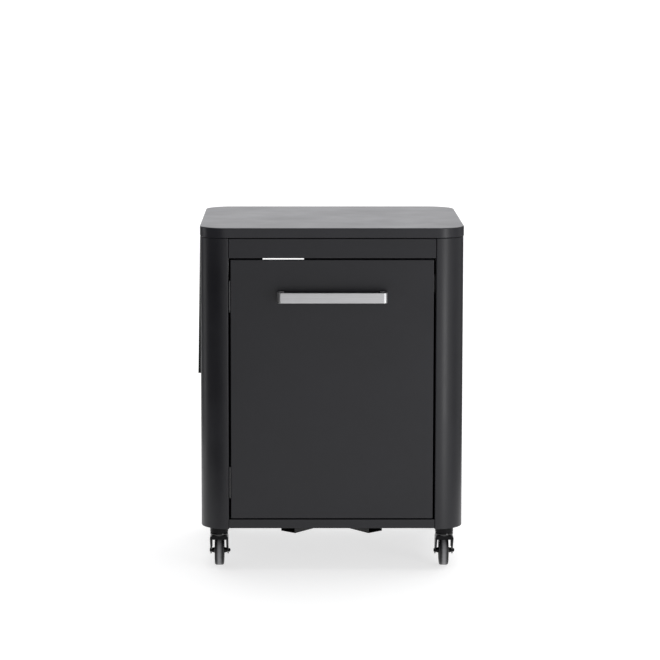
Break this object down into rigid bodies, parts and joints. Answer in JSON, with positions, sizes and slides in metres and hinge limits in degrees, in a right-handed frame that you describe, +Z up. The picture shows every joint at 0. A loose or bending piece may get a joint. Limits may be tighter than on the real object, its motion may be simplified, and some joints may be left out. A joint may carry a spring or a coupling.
{
  "type": "outdoor kitchen table",
  "caption": "Wheeled steel outdoor kitchen cabinet table with rounded columns, hinged front door, bar handle and drop-down side shelf on a wire prop.",
  "frame": {"origin": "middle of the whole table's footprint, handle and hanging shelf included, at floor level", "axes": "+Z up, front with the door towards -Y, +X to the right as seen from the front"},
  "size_m": [0.6586, 0.5938, 0.85],
  "materials": {
    "coated_steel": "near-black satin powder coat on sheet steel",
    "coated_worktop": "near-black satin powder coat, slightly smoother, on the worktop",
    "coated_inside": "near-black powder coat on the inner sheet parts",
    "brushed_handle": "stainless bar brushed along its length",
    "zinc_steel": "bright zinc plate",
    "black_steel": "black electro-coat on pressed steel",
    "black_plastic": "moulded black plastic",
    "grey_rubber": "dark grey rubber tread",
    "black_rubber": "black rubber buttons",
    "magnet": "ground grey magnet"
  },
  "bodies": {
    "cabinet": {"worktop": "coated_worktop", "worktop_stiffener_front": "coated_inside", "worktop_stiffener_rear": "coated_inside", "side_panel_left": "coated_steel", "side_panel_right": "coated_steel", "top_rail_left": "coated_inside", "top_rail_right": "coated_inside", "front_fascia": "coated_steel", "rear_panel": "coated_steel", "floor_tray": "coated_steel", "floor_brace": "coated_steel", "hinge_frame_leaf_lower": "black_steel", "hinge_frame_leaf_upper": "black_steel", "hinge_pin_lower": "black_steel", "hinge_pin_upper": "black_steel", "catch_case": "black_plastic", "catch_magnet": "magnet", "door_stop_left": "black_rubber", "door_stop_right": "black_rubber", "shelf_hinge_leaf_front": "black_steel", "shelf_hinge_leaf_rear": "black_steel", "shelf_pin_front": "black_steel", "shelf_pin_rear": "black_steel", "prop_rest": "coated_steel", "castor_plate_front_left": "black_steel", "castor_pin_front_left": "zinc_steel", "castor_plate_front_right": "black_steel", "castor_pin_front_right": "zinc_steel", "castor_plate_rear_left": "black_steel", "castor_pin_rear_left": "zinc_steel", "castor_plate_rear_right": "black_steel", "castor_pin_rear_right": "zinc_steel"},
    "door": {"door_skin": "coated_steel", "door_stiffener": "coated_inside", "door_handle": "brushed_handle", "strike_plate": "zinc_steel", "hinge_door_leaf_lower": "black_steel", "hinge_door_leaf_upper": "black_steel"},
    "shelf": {"shelf_pan": "coated_steel", "shelf_button_front": "black_rubber", "shelf_button_rear": "black_rubber", "prop_saddle_front": "zinc_steel", "prop_saddle_rear": "zinc_steel"},
    "prop": {"shelf_prop": "zinc_steel"},
    "castor_front_left": {"castor_fork_front_left": "black_steel", "castor_axle_front_left": "black_steel"},
    "wheel_front_left": {"castor_wheel_front_left": "black_plastic", "castor_tyre_front_left": "grey_rubber"},
    "castor_front_right": {"castor_fork_front_right": "black_steel", "castor_axle_front_right": "black_steel"},
    "wheel_front_right": {"castor_wheel_front_right": "black_plastic", "castor_tyre_front_right": "grey_rubber"},
    "castor_rear_left": {"castor_fork_rear_left": "black_steel", "castor_axle_rear_left": "black_steel"},
    "wheel_rear_left": {"castor_wheel_rear_left": "black_plastic", "castor_tyre_rear_left": "grey_rubber"},
    "castor_rear_right": {"castor_fork_rear_right": "black_steel", "castor_axle_rear_right": "black_steel"},
    "wheel_rear_right": {"castor_wheel_rear_right": "black_plastic", "castor_tyre_rear_right": "grey_rubber"}
  },
  "joints": [
    {"name": "door_hinge", "type": "hinge", "parent": "cabinet", "child": "door", "pos_m": [-0.24673, -0.2609, 0.45], "axis": [0, 0, 1], "range_deg": [-110, 0]},
    {"name": "shelf_hinge", "type": "hinge", "parent": "cabinet", "child": "shelf", "pos_m": [-0.32173, 0.0169, 0.816], "axis": [0, 1, 0], "range_deg": [0, 89.07]},
    {"name": "prop_pivot", "type": "hinge", "parent": "shelf", "child": "prop", "pos_m": [-0.32293, 0.0169, 0.681], "axis": [0, 1, 0], "range_deg": [-133.61, 0]},
    {"name": "castor_swivel_front_left", "type": "hinge", "parent": "cabinet", "child": "castor_front_left", "pos_m": [-0.27473, -0.2289, 0.08], "axis": [0, 0, 1], "continuous": true},
    {"name": "wheel_roll_front_left", "type": "hinge", "parent": "castor_front_left", "child": "wheel_front_left", "pos_m": [-0.27473, -0.2039, 0.03732], "axis": [1, 0, 0], "continuous": true},
    {"name": "castor_swivel_front_right", "type": "hinge", "parent": "cabinet", "child": "castor_front_right", "pos_m": [0.28327, -0.2289, 0.08], "axis": [0, 0, 1], "continuous": true},
    {"name": "wheel_roll_front_right", "type": "hinge", "parent": "castor_front_right", "child": "wheel_front_right", "pos_m": [0.28327, -0.2039, 0.03732], "axis": [1, 0, 0], "continuous": true},
    {"name": "castor_swivel_rear_left", "type": "hinge", "parent": "cabinet", "child": "castor_rear_left", "pos_m": [-0.27473, 0.2627, 0.08], "axis": [0, 0, 1], "continuous": true},
    {"name": "wheel_roll_rear_left", "type": "hinge", "parent": "castor_rear_left", "child": "wheel_rear_left", "pos_m": [-0.27473, 0.2377, 0.03732], "axis": [1, 0, 0], "continuous": true},
    {"name": "castor_swivel_rear_right", "type": "hinge", "parent": "cabinet", "child": "castor_rear_right", "pos_m": [0.28327, 0.2627, 0.08], "axis": [0, 0, 1], "continuous": true},
    {"name": "wheel_roll_rear_right", "type": "hinge", "parent": "castor_rear_right", "child": "wheel_rear_right", "pos_m": [0.28327, 0.2377, 0.03732], "axis": [1, 0, 0], "continuous": true}
  ],
  "couplings": [
    {"joint": "prop_pivot", "follows": "shelf_hinge", "ratio": -1.5}
  ]
}
